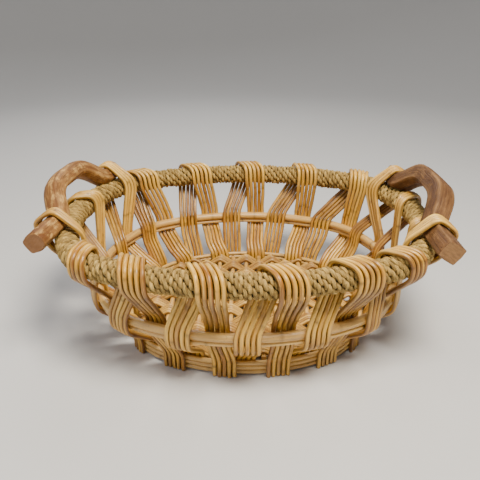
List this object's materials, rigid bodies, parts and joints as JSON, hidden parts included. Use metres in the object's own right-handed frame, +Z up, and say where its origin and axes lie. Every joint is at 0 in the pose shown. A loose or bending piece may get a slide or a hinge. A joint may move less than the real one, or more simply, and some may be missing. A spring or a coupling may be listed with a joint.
{
  "type": "winnowing basket",
  "caption": "Open oval willow basket with flared rod-band walls, a grass-rope rim, a woven floor and bent-wood carrying handles lashed over both ends.",
  "frame": {"origin": "on the ground that the rod tips stand on, under the middle of the basket", "axes": "+X along the basket's length from handle to handle, towards the right handle; +Y across it, towards the far side; +Z up"},
  "size_m": [0.4494, 0.3716, 0.18],
  "materials": {
    "willow_rod": "satin, peeled willow rod",
    "willow_stick": "satin, thicker bark-brown stick",
    "floor_willow": "dull, worn willow rod",
    "handle_wood": "satin, hand-worn wood",
    "grass_rope": "matte, twisted dry grass"
  },
  "bodies": {
    "root": {"rim_core_hoop": "willow_stick", "rim_rope": "grass_rope", "waist_hoop": "willow_stick", "waist_hoop_thin": "willow_stick", "foot_hoop": "willow_stick", "handle_left": "handle_wood", "handle_right": "handle_wood", "lashing_far_left": "willow_rod", "lashing_near_left": "willow_rod", "lashing_near_right": "willow_rod", "lashing_far_right": "willow_rod", "wall_band_far_1": "willow_rod", "wall_band_far_2": "willow_rod", "wall_band_far_3": "willow_rod", "wall_band_far_4": "willow_rod", "wall_band_far_5": "willow_rod", "wall_band_left": "willow_rod", "wall_band_near_1": "willow_rod", "wall_band_near_2": "willow_rod", "wall_band_near_3": "willow_rod", "wall_band_near_4": "willow_rod", "wall_band_near_5": "willow_rod", "wall_band_near_6": "willow_rod", "wall_band_right_1": "willow_rod", "wall_band_right_2": "willow_rod", "floor_spokes": "willow_stick", "floor_weavers_01": "floor_willow", "floor_weavers_02": "floor_willow", "floor_weavers_03": "floor_willow", "floor_weavers_04": "floor_willow", "floor_weavers_05": "floor_willow", "floor_weavers_06": "floor_willow", "floor_weavers_07": "floor_willow", "floor_weavers_08": "floor_willow", "floor_weavers_09": "floor_willow", "floor_weavers_10": "floor_willow", "floor_weavers_11": "floor_willow", "floor_weavers_12": "floor_willow"}
  },
  "joints": []
}
